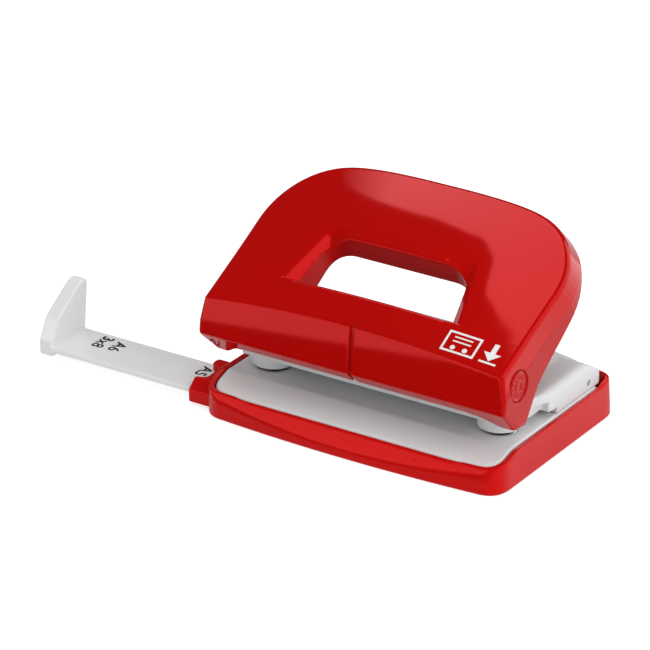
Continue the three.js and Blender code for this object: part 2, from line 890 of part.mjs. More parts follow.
const { red, grey, steel, spring } = colours;
addPart('chip_tray', chipTray(), plastic(red));
addPart('base_plate', basePlate(), plastic(grey));
addPart('upper_housing', upperHousing(), plastic(grey));
addPart('handle_shell', handleShell(), plastic(red));
addPart('guide_rail', guideRail(), plastic(grey));
addPart('press_rod', pressRod(), metal(steel));
for (const [label, side] of [['left', -1], ['right', 1]]) {
  const x = side * punch.halfSpacing;
  addPart(`die_bush_${label}`, dieBush(x), metal(steel));
  addPart(`punch_pin_${label}`, punchPin(x), metal(steel));
  addPart(`return_spring_${label}`, returnSpring(x), metal(spring));
  addPart(`retainer_${label}`, retainer(x), metal(steel));
  addPart(`pivot_pin_${label}`, pivotPin(side), metal(steel));
  addPart(`pivot_cap_${label}`, pivotCap(side), plastic(red));
}
screwPoints.forEach(([x, y], i) => {
  addPart(`body_screw_${i + 1}`, bodyScrew(x, y), metal(steel));
});

export default group;
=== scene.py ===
"""Two-hole desk punch with a sliding paper guide.

Lengths are in millimetres until a mesh is made; X right, Y back, Z up, the origin on
the table between the two punches. Each moulded piece is written as a field: a number
that is negative inside the plastic and grows outwards. Fields are joined and cut with
rounded edges, then skinned with quads.
"""

import math

import bmesh
import bpy
import numpy as np
import openvdb
from mathutils import Matrix, Vector


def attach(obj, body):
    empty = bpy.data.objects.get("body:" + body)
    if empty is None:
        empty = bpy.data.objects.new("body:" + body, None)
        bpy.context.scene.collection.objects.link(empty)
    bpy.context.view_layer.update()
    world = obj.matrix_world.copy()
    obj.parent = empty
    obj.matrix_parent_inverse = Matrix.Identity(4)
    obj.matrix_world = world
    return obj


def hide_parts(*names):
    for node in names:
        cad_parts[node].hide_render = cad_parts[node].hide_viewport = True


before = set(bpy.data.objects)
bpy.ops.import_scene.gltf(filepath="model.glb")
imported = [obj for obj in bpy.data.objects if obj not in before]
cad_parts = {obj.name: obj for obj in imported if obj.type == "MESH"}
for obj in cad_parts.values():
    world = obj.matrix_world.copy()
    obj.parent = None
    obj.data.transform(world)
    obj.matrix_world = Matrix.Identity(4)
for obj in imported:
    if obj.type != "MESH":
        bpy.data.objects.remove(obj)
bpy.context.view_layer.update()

MM = 0.001
SLOPE = math.radians(26.5)
UP_X, UP_Z = math.cos(SLOPE), math.sin(SLOPE)


# ------------------------------------------------------------------ dimensions
class Face:
    """The sloping top of the handle."""

    front_y, front_z = -19.5, 41.7
    top_v, half_width = 59.9, 51.6
    flare, flare_depth, corner_flare = 2.3, 10.5, 1.2
    wall = 2.4


class Window:
    """Hand window in the face, with a sloping facet along either side."""

    bottom_v, top_v = 11.5, 30.4
    bottom_half, top_half = 27.2, 24.0
    facet_bottom_half, facet_top_half, facet_top_v = 30.7, 25.5, 34


# Handle pivot and press rod, as (y, z).
PIVOT = (-12.3, 33.2)
ROD = (0.0, 36.0)
PIVOT_HOLE_RADIUS = 2.56
CAP_OUTER_X, CAP_RADIUS, CAP_THICKNESS = 53.4, 4.7, 0.9

# The punches stand at (-HOLE_X, 0) and (HOLE_X, 0).
HOLE_X = 40
BOSS_RADIUS, PUNCH_BORE_RADIUS, DIE_SEAT_RADIUS = 6.9, 2.85, 5.5
SCREW_X, SCREW_YS = 42, (22, 36)

# Paper-size marks on the guide: text and centre.
SCALE_MARKS = (("3x8", -101.2, -4.4), ("A6", -95.3, -4.9), ("A5", -62.8, -4.8))
SCALE_MARK_SIZE = 5.6
INK_LIFT = 0.03


class Tray:
    """Red chip tray; the plate stands on posts along its side walls."""

    half_width, front_y, back_y, back_lean = 52.3, -23.8, 50.2, 0.2
    bow_radius, corner_radius, wall, floor = 568.0, 8.0, 1.8, 1.6
    front_rim_y, front_ledge_y, back_inner_y = -20.9, -19.2, 46.2
    front_height, side_height, back_height = 8.9, 11.5, 13.4
    facet_bottom_z, facet_slope = 3.2, 2.0
    post_sides_and_ys = ((-1, 12), (-1, 36), (1, 12), (1, 36))
    front_rib_xs, rail_rib_ys = (-24, 0, 24), (-12, -3)


class Plate:
    """Grey plate that the paper lies on."""

    half_width, front_y, back_y = 50.15, -20.6, 45.8
    top_z, lip_z, lip_y, bottom_z = 11.6, 8.6, -10.5, 9.0


class Housing:
    """Grey body over the plate: a low deck with a hump, and cheeks for the pivot."""

    half_width, rear_half_width, wall = 47, 50.2, 2
    widens_from_y, widens_to_y, back_y = 4, 14, 43.6
    bottom_z, platform_z, deck_z = 11.9, 20, 21
    hump_half_width, hump_front_z, hump_back_z = 44, 28.5, 23.4
    slot_end_y, slot_top_z = 16.5, 13.9
    cheek_inner_x, cheek_outer_x, lug_radius = 44.4, 46.7, 5.2


class Rail:
    """Paper guide that slides out to the left."""

    front_y, back_y, top_z, bottom_z = -16.2, 2.0, 5.0, 3.2
    inner_x, stop_x, stop_thickness = 2.0, -112.0, 5.0


# ------------------------------------------------------------------ field tools
def rounded(points, steps=7):
    """Closed outline through (a, b) points; a third number rounds that corner."""
    outline = []
    count = len(points)
    for i, point in enumerate(points):
        corner = Vector(point[:2])
        if len(point) < 3:
            outline.append(tuple(corner))
            continue
        before = (Vector(points[i - 1][:2]) - corner).normalized()
        after = (Vector(points[(i + 1) % count][:2]) - corner).normalized()
        cut = point[2] / math.tan(before.angle(after) / 2)
        start, end = corner + before * cut, corner + after * cut
        for k in range(steps + 1):
            t = k / steps
            outline.append(tuple(start.lerp(corner, t).lerp(corner.lerp(end, t), t)))
    return outline


def distance_to(outline, a, b):
    """Signed distance of the points (a, b) from a closed outline, negative inside."""
    a, b = np.broadcast_arrays(a, b)
    near = np.full(a.shape, 1e9, np.float32)
    inside = np.zeros(a.shape, bool)
    for (a0, b0), (a1, b1) in zip(outline, outline[1:] + outline[:1]):
        da, db = a1 - a0, b1 - b0
        length = da * da + db * db
        if length < 1e-12:
            continue
        t = np.clip(((a - a0) * da + (b - b0) * db) / length, 0, 1)
        near = np.minimum(near, (a - a0 - t * da) ** 2 + (b - b0 - t * db) ** 2)
        if db != 0:
            inside ^= ((b0 > b) != (b1 > b)) & (a < a0 + (b - b0) * da / db)
    return np.where(inside, -1, 1).astype(np.float32) * np.sqrt(near)


def both(p, q, r=0.0):
    """Where both fields are solid, with the edge between them rounded to r."""
    if np.max(r) <= 0:
        return np.maximum(p, q)
    u, v = np.maximum(p + r, 0), np.maximum(q + r, 0)
    return np.minimum(-r, np.maximum(p, q)) + np.sqrt(u * u + v * v)


def either(p, q, r=0.0):
    """Where either field is solid, with a fillet of r between them."""
    return -both(-p, -q, r)


def less(p, q, r=0.0):
    """The first field with the second cut away."""
    return both(p, -q, r)


def slab(a, low, high):
    return np.maximum(low - a, a - high)


def block(x, y, z, low, high, r=0.0):
    solid = both(slab(x, low[0], high[0]), slab(y, low[1], high[1]), r)
    return both(solid, slab(z, low[2], high[2]), r)


def disc(a, b, centre, radius):
    return np.sqrt((a - centre[0]) ** 2 + (b - centre[1]) ** 2) - radius


def smoothstep(a, low, high):
    t = np.clip((a - low) / (high - low), 0, 1)
    return t * t * (3 - 2 * t)


def sample(low, high, step):
    """Three broadcastable coordinate arrays that cover a box."""
    axes = [np.arange(lo, hi + step, step, dtype=np.float32) for lo, hi in zip(low, high)]
    return axes[0][:, None, None], axes[1][None, :, None], axes[2][None, None, :]


def between(field, points):
    """The field at points given in grid steps, blended from the eight samples around each."""
    base = np.clip(np.floor(points).astype(int), 0, np.array(field.shape) - 2)
    part = (points - base).astype(np.float32)
    total = np.zeros(len(points), np.float32)
    for corner in range(8):
        offset = np.array([corner & 1, corner >> 1 & 1, corner >> 2])
        weight = np.prod(np.where(offset, part, 1 - part), axis=1)
        total += weight * field[tuple((base + offset).T)]
    return total


def settle(field, points, rounds=3):
    """Moves points onto the field's zero surface. Returns them and the outward normals."""
    for _ in range(rounds):
        slope = np.stack([
            between(field, points + step) - between(field, points - step)
            for step in np.eye(3) * 0.5
        ], axis=1)
        steep = np.maximum((slope**2).sum(axis=1), 0.05 * (slope**2).max())
        move = slope * (between(field, points) / steep)[:, None]
        points = points - np.clip(move, -0.4, 0.4)
    return points, slope / np.maximum(np.linalg.norm(slope, axis=1), 1e-6)[:, None]


def skin(name, field, low, step, placing=None):
    """Quads on the field's zero surface, as an object."""
    band = 3 * step
    field = np.ascontiguousarray(np.clip(field, -band, band), dtype=np.float32)
    grid = openvdb.FloatGrid(band)
    grid.copyFromArray(field)
    points, quads = grid.convertToQuads(0.0)
    points, normals = settle(field, points)
    placing = placing or Matrix.Identity(4)
    turn = np.array(placing.to_3x3())
    points = ((points * step + np.array(low)) @ turn.T + np.array(placing.translation)) * MM
    mesh = bpy.data.meshes.new(name)
    mesh.from_pydata(points.tolist(), [], quads.tolist())
    mesh.shade_smooth()
    mesh.normals_split_custom_set_from_vertices((normals @ turn.T).tolist())
    obj = bpy.data.objects.new(name, mesh)
    bpy.context.collection.objects.link(obj)
    return obj


# ------------------------------------------------------------------ handle
def crown(x, v):
    """Height of the domed face above its flat reference plane."""
    along = 1.1 * (1 - ((v - 30) / 30) ** 2)
    side = np.minimum((x / Face.half_width) ** 2, 1.2)
    return along * (1 - side) - 2.6 * side


def face_placing():
    """From (across, up the slope, out of the face) to (x, y, z)."""
    return Matrix((
        (1, 0, 0, 0),
        (0, UP_X, -UP_Z, Face.front_y),
        (0, UP_Z, UP_X, Face.front_z),
        (0, 0, 0, 1),
    ))


def to_face(y, z):
    dy, dz = y - Face.front_y, z - Face.front_z
    return dy * UP_X + dz * UP_Z, -dy * UP_Z + dz * UP_X


def bezier(p0, p1, p2, p3, steps=14):
    p0, p1, p2, p3 = (Vector(p) for p in (p0, p1, p2, p3))
    out = []
    for k in range(1, steps + 1):
        t = k / steps
        s = 1 - t
        out.append(tuple(p0 * s**3 + p1 * 3 * s * s * t + p2 * 3 * s * t * t + p3 * t**3))
    return out


def face_outline():
    half, top, shoulder = Face.half_width, Face.top_v, 32
    arch = (33, top - 2)
    right = [(half, -40), (half, shoulder)]
    right += bezier((half, shoulder), (half, shoulder + 10.5), (arch[0] + 13, arch[1] - 3.4), arch)
    right += bezier(arch, (arch[0] - 8, top + 0.1), (12, top + 0.1), (0, top))
    left = [(-a, b) for a, b in reversed(right[:-1])]
    return right + left


def handle_flare(x, v, n):
    """Signed distance from the handle's flaring sides."""
    outline = distance_to(face_outline(), x, v)[:, :, :1]
    along_x, along_v = np.gradient(outline[:, :, 0])
    length = np.maximum(np.hypot(along_x, along_v), 1e-6)
    across = np.abs(along_x / length)[:, :, None]
    up = np.maximum(along_v / length, 0)[:, :, None]
    deep = np.clip((1.2 - n) / Face.flare_depth, 0, 1)
    corner = smoothstep(v, 15, 42) * smoothstep(np.abs(x), 10, 40)
    spread = Face.corner_flare * corner * (0.8 * across + 0.6 * up)
    return outline - (Face.flare * deep - 0.4) - spread * deep


def outline_in_face(points, v, n):
    """Signed distance from an outline given in (y, z), sampled on the face axes."""
    turned = [to_face(y, z) for y, z in rounded(points)]
    return distance_to(turned, v[0, :, :], n[0, :, :])[None, :, :]


def window_outline():
    w = Window
    return rounded([
        (-w.bottom_half, w.bottom_v, 2),
        (w.bottom_half, w.bottom_v, 2),
        (w.top_half, w.top_v, 8),
        (-w.top_half, w.top_v, 8),
    ])


def window_facet(x, v, n):
    """Height above the sloping cuts on either side of the window."""
    w = Window
    lean = (w.facet_bottom_half - w.facet_top_half) / (w.facet_top_v - w.bottom_v)
    outer = w.facet_bottom_half - lean * (v - w.bottom_v)
    inward = -both(np.abs(x) - outer, 0.5 * (v - w.facet_top_v), 2)
    inward = (np.sqrt(inward**2 + 0.1) + inward) / 2
    depth = 0.95 * np.minimum(inward, 4.2) * smoothstep(np.abs(x), 15, 23)
    return np.minimum(n - crown(x, v) + depth, v - w.bottom_v + 0.2)


def handle_extras(x, v, n):
    """Pads round the pivot pins and the ends of the rod, and gussets at the front corners."""
    reach = np.abs(x)
    z = Face.front_z + v * UP_Z + n * UP_X
    pads = either(
        np.maximum(disc(v, n, to_face(*PIVOT), 6), slab(reach, 47.4, 52.6)),
        np.maximum(disc(v, n, to_face(*ROD), 4), slab(reach, 47.4, 52.4)),
        0.5,
    )
    gusset_band = outline_in_face([(-21.1, 27), (-12.6, 18.5), (-10.9, 20.2), (-19.4, 28.7)], v, n)
    gusset_low = 23.4 - 5.4 * smoothstep(reach, 40, 51)
    gussets = np.maximum(np.maximum(gusset_band, 0.8 * (gusset_low - z)), slab(reach, 40, 52))
    return either(pads, gussets)


def make_handle(step=0.36):
    low, high = (-56, -10, -26), (56, 65, 2.4)
    x, v, n = sample(low, high, step)
    reach = np.abs(x)
    pin, rod = to_face(*PIVOT), to_face(*ROD)
    top = n - crown(x, v)
    sides = handle_flare(x, v, n)
    profile = outline_in_face([
        (-21.1, 27, 2), (-12.6, 18.5, 3.5), (-7, 18.3, 2.5), (0.1, 28.9, 4),
        (50, 71.5), (50, 110), (-18, 110), (-18, 52),
    ], v, n)
    hollow_profile = outline_in_face([
        (-18.7, 28, 1), (-15.4, 24.7), (-17.4, 22.7), (-22, 18.1), (-22, 0),
        (60, 0), (60, 110), (-15.6, 110), (-15.6, 52),
    ], v, n)
    outer = both(both(top, profile, 0.55), sides, 1.3)
    hollow = both(both(top + Face.wall, sides + Face.wall, 1.2), hollow_profile, 0.6)
    solid = less(outer, hollow, 0.5)

    window = distance_to(window_outline(), x[:, :, 0], v[:, :, 0])[:, :, None]
    backing = np.maximum(both(window - 7, -(n + 6.4), 1), top + 1)
    tube_profile = outline_in_face([
        (-18, 90), (-18, 40), (-10, 32.6), (1, 37.4), (11.7, 48), (40, 76.3), (40, 90),
    ], v, n)
    tube = both(np.maximum(window - 2, top + 1), tube_profile, 0.5)
    tube = less(tube, disc(v, n, rod, 3) + 0 * x, 0.3)
    inside = np.maximum(either(backing, tube, 0.8), profile)
    solid = either(solid, inside, 0.8)

    extras = both(both(handle_extras(x, v, n), sides + 0.3), profile)
    solid = either(solid, extras, 1.5)
    edge_radius = 0.9 + 1.4 * smoothstep(-n, 13, 22)
    solid = both(solid, both(profile, sides, edge_radius), 0)

    solid = less(solid, np.broadcast_to(window, solid.shape), 1.1)
    solid = np.maximum(solid, window_facet(x, v, n))
    seat_x = CAP_OUTER_X - CAP_THICKNESS - 0.1
    solid = less(solid, np.maximum(disc(v, n, pin, CAP_RADIUS + 0.12), seat_x - reach), 0.15)
    solid = less(solid, np.maximum(disc(v, n, pin, 2.6), 46 - reach))
    solid = less(solid, np.maximum(disc(v, n, rod, 2.1), slab(reach, 40, 50.3)))
    groove = outline_in_face([
        (-24, 20), (-20.4, 20), (-16.5, 23.3), (-20.5, 27.3), (-18.9, 41.4), (-20, 46), (-24, 46),
    ], v, n)
    solid = less(solid, np.maximum(groove - 0.5, slab(x, -0.25, 0.85)), 0.25)
    return skin("handle", solid, low, step, face_placing())


# ------------------------------------------------------------------ chip tray
def footprint(inset):
    """Outline of the tray with its gently bowed front, shrunk all round by inset."""
    half, back = Tray.half_width - inset, Tray.back_y - inset
    radius = max(Tray.corner_radius - inset, 1)
    reach = half - radius

    def bow(x):
        return Tray.front_y + inset + x * x / (2 * Tray.bow_radius)

    points = [(x, bow(x)) for x in np.linspace(-reach, reach, 25).tolist()]
    points += [(half, bow(reach), radius), (half, back, radius)]
    points += [(-half, back, radius), (-half, bow(reach), radius)]
    return rounded(points, 12)


def make_tray(step=0.36):
    low, high = (-61.5, -25, -1), (53.5, 51.5, 14.6)
    x, y, z = sample(low, high, step)

    def plan(inset):
        return distance_to(footprint(inset), x[:, :, 0], y[:, :, 0])[:, :, None]

    def side_view(points):
        return distance_to(rounded(points), y[0], z[0])[None]

    rim = side_view([
        (-60, Tray.front_height), (Plate.front_y, Tray.front_height),
        (Plate.lip_y, Tray.side_height, 3), (38.6, Tray.side_height, 3),
        (44.6, Tray.back_height, 3), (60, Tray.back_height), (60, 60), (-60, 60),
    ])
    slope = math.atan(Tray.facet_slope)
    above_facet = (z - Tray.facet_bottom_z) * math.cos(slope)
    front_facet = above_facet - (y - Tray.front_y) * math.sin(slope)
    back_slope = math.atan(Tray.back_lean)
    back_face = (y - Tray.back_y) * math.cos(back_slope) + z * math.sin(back_slope)
    outer = both(plan(0), front_facet, 0.5)
    outer = both(both(outer, back_face, 5), -z, 0.9)
    outer = less(outer, rim, 0.45)

    inner = both(plan(Tray.wall), y - Tray.back_inner_y, 3)
    ledge_z = Plate.lip_z - 2.7
    low_part = both(Tray.front_ledge_y - y, Tray.floor - z, 0.8)
    high_part = both(Tray.front_rim_y - y, ledge_z - z, 0.3)
    solid = less(outer, both(inner, either(low_part, high_part)), 0.35)
    for side, post_y in Tray.post_sides_and_ys:
        post = block(x * side, y, z, (45.5, post_y - 1, 1), (51.5, post_y + 1, 8.7), 0.3)
        solid = either(solid, post, 0.4)
    for rib_x in Tray.front_rib_xs:
        rib = block(x, y, z, (rib_x - 0.8, -22.5, 1), (rib_x + 0.8, -18.4, 5.6), 0.3)
        solid = either(solid, rib, 0.4)
    for rib_y in Tray.rail_rib_ys:
        rib = block(x, y, z, (-51, rib_y - 0.6, 1), (46, rib_y + 0.6, 2.9), 0.2)
        solid = either(solid, rib, 0.3)
    for guide_y, inward in ((Rail.front_y - 0.4, 1), (Rail.back_y + 0.4, -1)):
        out = (y - guide_y) * inward
        post = np.maximum(slab(x, -50.8, -43), np.maximum(slab(out, -1.6, 0), slab(z, 1, 6.1)))
        hook = np.maximum(slab(x, -50.8, -43), np.maximum(slab(out, -1, 1.4), slab(z, 5.3, 6.1)))
        solid = either(solid, either(post, hook), 0.15)

    wing_plan = distance_to(rounded([
        (-59.6, -18, 0.8), (-50.8, -18), (-50.8, -0.6), (-60.2, -0.6, 1.5), (-60.2, -4, 1.5),
        (-56.5, -5, 1.5), (-56.1, -12.8, 2), (-59.6, -13.8, 0.8),
    ]), x[:, :, 0], y[:, :, 0])[:, :, None]
    wing_side = side_view([
        (-18, 1), (-18, 5, 0.6), (-14.2, 8.1, 1), (-0.6, 8.5), (-0.6, 5.3),
        (-16.4, 5.3), (-16.4, 1),
    ])
    wing = both(both(wing_plan, wing_side, 0.5), x + 50)
    solid = either(solid, np.maximum(wing, -x - 61), 0.5)
    slot = block(x, y, z, (-64, Rail.front_y - 0.2, 2.9), (-49, Rail.back_y + 0.4, 5.3))
    return skin("tray", less(solid, slot, 0.2), low, step)


# ------------------------------------------------------------------ base plate
def make_plate(step=0.36):
    low, high = (-51, -22, 5.4), (51, 47, 12.6)
    x, y, z = sample(low, high, step)
    clearance = Tray.half_width - Plate.half_width

    def plan(inset):
        return distance_to(footprint(inset), x[:, :, 0], y[:, :, 0])[:, :, None]

    side = distance_to(rounded([
        (Plate.front_y, Plate.lip_z - 1.6), (Plate.front_y, Plate.lip_z, 1.2),
        (Plate.lip_y, Plate.top_z, 4), (Plate.back_y, Plate.top_z, 1.2), (Plate.back_y, 9.2, 1.2),
        (Plate.lip_y, Plate.bottom_z), (Plate.front_y + 2, Plate.lip_z - 2.4),
    ]), y[0], z[0])[None]
    outline = both(plan(clearance), Plate.front_y - y)
    solid = both(side, outline, 1.0)
    skirt = np.maximum(both(plan(clearance), -plan(clearance + 1.3)), slab(z, 6.4, 9.3))
    skirt = np.maximum(skirt, slab(y, -16, 34))
    skirt = less(skirt, block(x, y, z, (-52, -17, 0), (-44, 8, 9)))
    solid = either(solid, skirt, 0.2)
    for side, post_y in Tray.post_sides_and_ys:
        gap = block(x * side, y, z, (44, post_y - 1.6, 0), (52, post_y + 1.6, 9))
        solid = less(solid, gap)
    solid = less(solid, np.maximum(slab(np.abs(x), 46, 60), 40 - y), 0.3)
    for side in (-1, 1):
        solid = less(solid, disc(x, y, (HOLE_X * side, 0), DIE_SEAT_RADIUS) + 0 * z, 0.2)
    return skin("plate", solid, low, step)


# ------------------------------------------------------------------ upper housing
def housing_body(x, y, z, inset):
    """Deck and hump of the housing, shrunk by inset."""
    half, wide = Housing.half_width - inset, Housing.rear_half_width - inset
    back_y, deck_z = Housing.back_y - inset, Housing.deck_z - inset
    hump_half = Housing.hump_half_width - inset

    def plan(points):
        return distance_to(rounded(points, 10), x[:, :, 0], y[:, :, 0])[:, :, None]

    def side_view(points):
        return distance_to(rounded(points, 10), y[0], z[0])[None]

    def front_view(points):
        return distance_to(rounded(points, 10), x[:, 0, :], z[:, 0, :])[:, None, :]

    outline = plan([
        (-half, -30), (half, -30), (half, Housing.widens_from_y, 8),
        (wide, Housing.widens_to_y, 8), (wide, back_y, 4 - inset),
        (-wide, back_y, 4 - inset), (-wide, Housing.widens_to_y, 8),
        (-half, Housing.widens_from_y, 8),
    ])
    deck = side_view([
        (-7 + inset, 5), (-7 + inset, Housing.platform_z - inset), (12 + inset, deck_z, 2),
        (34.5, deck_z, 5), (42.2 - inset, 16.2 - inset, 2), (back_y, 12), (back_y, 5),
    ])
    deck_sides = front_view([(-wide, 0), (wide, 0), (wide, deck_z, 5), (-wide, deck_z, 5)])
    deck = both(both(deck, deck_sides, 0.6), outline, 0.9)
    hump = side_view([
        (9 + inset, 10), (9 + inset, Housing.platform_z - inset),
        (12 + inset, Housing.hump_front_z - inset, 2), (34, Housing.hump_back_z - inset, 8),
        (42 - inset, 17.6 - inset, 2), (43.2 - inset, 10),
    ])
    hump_sides = front_view([
        (-hump_half - 9.2, 10), (hump_half + 9.2, 10), (hump_half - 16.4, 30), (16.4 - hump_half, 30),
    ])
    hump = both(both(hump, hump_sides, 3.0), slab(x, -hump_half, hump_half), 1.0)
    return either(deck, hump, 1.2)


def housing_front(reach, y, z):
    """Wall across the front, with a short skirt and a pivot cheek at either end."""
    cross_wall = block(reach, y, z, (-1, -9, 17.2), (45.5, -6.8, Housing.platform_z), 0.3)
    skirt = block(reach, y, z, (45.2, 0, 14.3), (Housing.half_width, 12.5, 19), 0.3)
    cheek_side = distance_to(rounded([
        (0, 14.3, 2), (-10, 20.2, 2), (-14.2, 25, 3), (PIVOT[0] - 3, PIVOT[1]),
        (PIVOT[0] + 4.6, PIVOT[1]), (-3.2, 21, 4), (8, 20, 2), (8, 14.3, 0.5),
    ], 10), y[0], z[0])[None]
    cheek_side = either(cheek_side, disc(y, z, PIVOT, Housing.lug_radius), 0.5)
    cheek = both(cheek_side, slab(reach, Housing.cheek_inner_x, Housing.cheek_outer_x), 0.4)
    return either(cross_wall, either(skirt, cheek, 0.3), 0.3)


def make_housing(step=0.34):
    low, high = (-51.2, -18.4, 11), (51.2, 44.6, 39.4)
    x, y, z = sample(low, high, step)
    reach = np.abs(x)
    solid = housing_body(x, y, z, 0)
    solid = less(solid, np.maximum(housing_body(x, y, z, Housing.wall), 14.2 - y))
    solid = less(solid, np.maximum(y - 12, z - 17.2), 0.4)
    solid = np.maximum(solid, Housing.bottom_z - z)
    slot_back = np.maximum(43.6 - reach, y - Housing.slot_end_y)
    solid = less(solid, np.maximum(slot_back, z - Housing.slot_top_z), 0.4)
    solid = either(solid, housing_front(reach, y, z), 0.5)
    for side in (-1, 1):
        boss = both(disc(x, y, (HOLE_X * side, 0), BOSS_RADIUS), slab(z, 12.7, 21.2), 0.5)
        solid = either(solid, boss, 0.6)
        for screw_y in SCREW_YS:
            screw_at = (SCREW_X * side, screw_y)
            post = np.maximum(disc(x, y, screw_at, 3.2), slab(z, Housing.bottom_z, 18))
            solid = either(solid, post, 0.3)
            solid = less(solid, np.maximum(disc(x, y, screw_at, 1.5), z - 17.8))
        bore = disc(x, y, (HOLE_X * side, 0), PUNCH_BORE_RADIUS)
        solid = less(solid, np.maximum(bore, z - 40), 0.3)
    solid = less(solid, np.maximum(disc(y, z, PIVOT, PIVOT_HOLE_RADIUS), 43 - reach), 0.2)
    side_hole = np.maximum(disc(y, z, (35.3, 14.2), 1.05), 36 - x)
    return skin("housing", less(solid, side_hole, 0.1), low, step)


# ------------------------------------------------------------------ paper guide
def make_guide(step=0.3):
    low, high = (-118, -17.4, 0.6), (3, 4.6, 22.8)
    x, y, z = sample(low, high, step)

    def side_view(points):
        return distance_to(rounded(points, 8), y[0], z[0])[None]

    bar = side_view([
        (Rail.front_y, Rail.bottom_z), (Rail.front_y, Rail.top_z, 0.4), (-4.6, Rail.top_z, 4),
        (Rail.back_y, Rail.top_z - 0.4, 0.4), (Rail.back_y, Rail.bottom_z),
    ])
    bar = both(bar, slab(x, Rail.stop_x - 1, Rail.inner_x), 0.35)
    stop = side_view([
        (-16.1, 1.6, 0.6), (-16.1, 6.5, 3), (-12.2, 13.4, 5), (-1.6, 20.4, 3), (1.2, 21.6, 1),
        (3.4, 21, 1.2), (3.2, 17, 3), (2, 6), (2, 1.6, 0.6),
    ])
    stop = both(stop, slab(x, Rail.stop_x - Rail.stop_thickness, Rail.stop_x), 0.7)
    return skin("guide", either(bar, stop, 0.6), low, step)


# ------------------------------------------------------------------ pivot caps
def make_cap(side, step=0.11):
    """A round cap with a raised ring of short ticks."""
    outer, inner = CAP_OUTER_X, CAP_OUTER_X - CAP_THICKNESS
    centre_y, centre_z = PIVOT
    near, far = sorted((side * (inner - 0.5), side * (outer + 0.5)))
    low, high = (near, centre_y - 6, centre_z - 6), (far, centre_y + 6, centre_z + 6)
    x, y, z = sample(low, high, step)
    radius, reach = disc(y, z, PIVOT, 0), side * x
    face, raised = outer - 0.22, slab(reach, inner, outer - 0.02)
    solid = both(radius - CAP_RADIUS, slab(reach, inner, face), 0.2)
    ring = both(np.abs(radius - 4.1) - 0.22, raised, 0.1)
    hub = both(np.abs(radius - 1.6) - 0.25, raised, 0.1)
    solid = either(either(solid, ring, 0.1), hub, 0.1)
    ticks = 12
    angle = np.arctan2(z - centre_z, y - centre_y)
    turn = 2 * math.pi / ticks
    off_axis = radius * np.sin((angle + turn / 2) % turn - turn / 2)
    tick = both(both(np.abs(off_axis) - 0.28, slab(radius, 2.4, 3.3), 0.1), raised, 0.1)
    solid = either(solid, tick, 0.1)
    return skin("cap_left" if side < 0 else "cap_right", solid, low, step)


# ------------------------------------------------------------------ printing
def on_face(x, v, lift=INK_LIFT):
    """Point on the domed face, lifted a little so that ink lies on the plastic."""
    n = float(crown(np.float32(x), v)) + lift
    return face_placing() @ Vector((x, v, n)) * MM


def ink_patch(name, outline, place):
    """A patch of ink with the given outline, laid on a surface by place(a, b)."""
    bm = bmesh.new()
    face = bm.faces.new([bm.verts.new((a, b, 0)) for a, b in outline])
    bmesh.ops.triangulate(bm, faces=[face])
    bmesh.ops.subdivide_edges(bm, edges=bm.edges[:], cuts=2, use_grid_fill=True)
    for vert in bm.verts:
        vert.co = place(vert.co.x, vert.co.y)
    mesh = bpy.data.meshes.new(name)
    bm.to_mesh(mesh)
    bm.free()
    obj = bpy.data.objects.new(name, mesh)
    bpy.context.collection.objects.link(obj)
    return obj


def circle(cx, cy, radius, steps=28):
    return [
        (cx + radius * math.cos(angle), cy + radius * math.sin(angle))
        for angle in (2 * math.pi * k / steps for k in range(steps))
    ]


def frame_strips(x0, y0, x1, y1, width):
    """Four bars that make a rectangular frame."""
    return [
        [(x0, y0), (x1, y0), (x1, y0 + width), (x0, y0 + width)],
        [(x0, y1 - width), (x1, y1 - width), (x1, y1), (x0, y1)],
        [(x0, y0 + width), (x0 + width, y0 + width), (x0 + width, y1 - width), (x0, y1 - width)],
        [(x1 - width, y0 + width), (x1, y0 + width), (x1, y1 - width), (x1 - width, y1 - width)],
    ]


def make_pictogram():
    """White sign on the face: a sheet of paper with two holes, and a downward arrow."""
    shapes = frame_strips(29.5, 1.4, 40.5, 8.8, 0.7)
    shapes += [circle(33, 3.2, 0.8), circle(37, 3.2, 0.8)]
    shapes += [[(32, y), (38, y), (38, y + 0.5), (32, y + 0.5)] for y in (5.2, 6.7)]
    shapes += [[(44.4, 5.2), (46, 5.2), (46, 8.8), (44.4, 8.8)]]
    shapes += [[(42.4, 5.4), (45.2, 2.4), (48, 5.4)]]
    shapes += [[(42.4, 1.4), (48, 1.4), (48, 2.1), (42.4, 2.1)]]
    pieces = [ink_patch(f"face_sign_{i}", outline, on_face) for i, outline in enumerate(shapes)]
    return joined("face_sign", pieces)


def joined(name, pieces):
    """One object made of several."""
    bm = bmesh.new()
    for piece in pieces:
        bm.from_mesh(piece.data)
        bpy.data.objects.remove(piece)
    mesh = bpy.data.meshes.new(name)
    bm.to_mesh(mesh)
    bm.free()
    obj = bpy.data.objects.new(name, mesh)
    bpy.context.collection.objects.link(obj)
    return obj


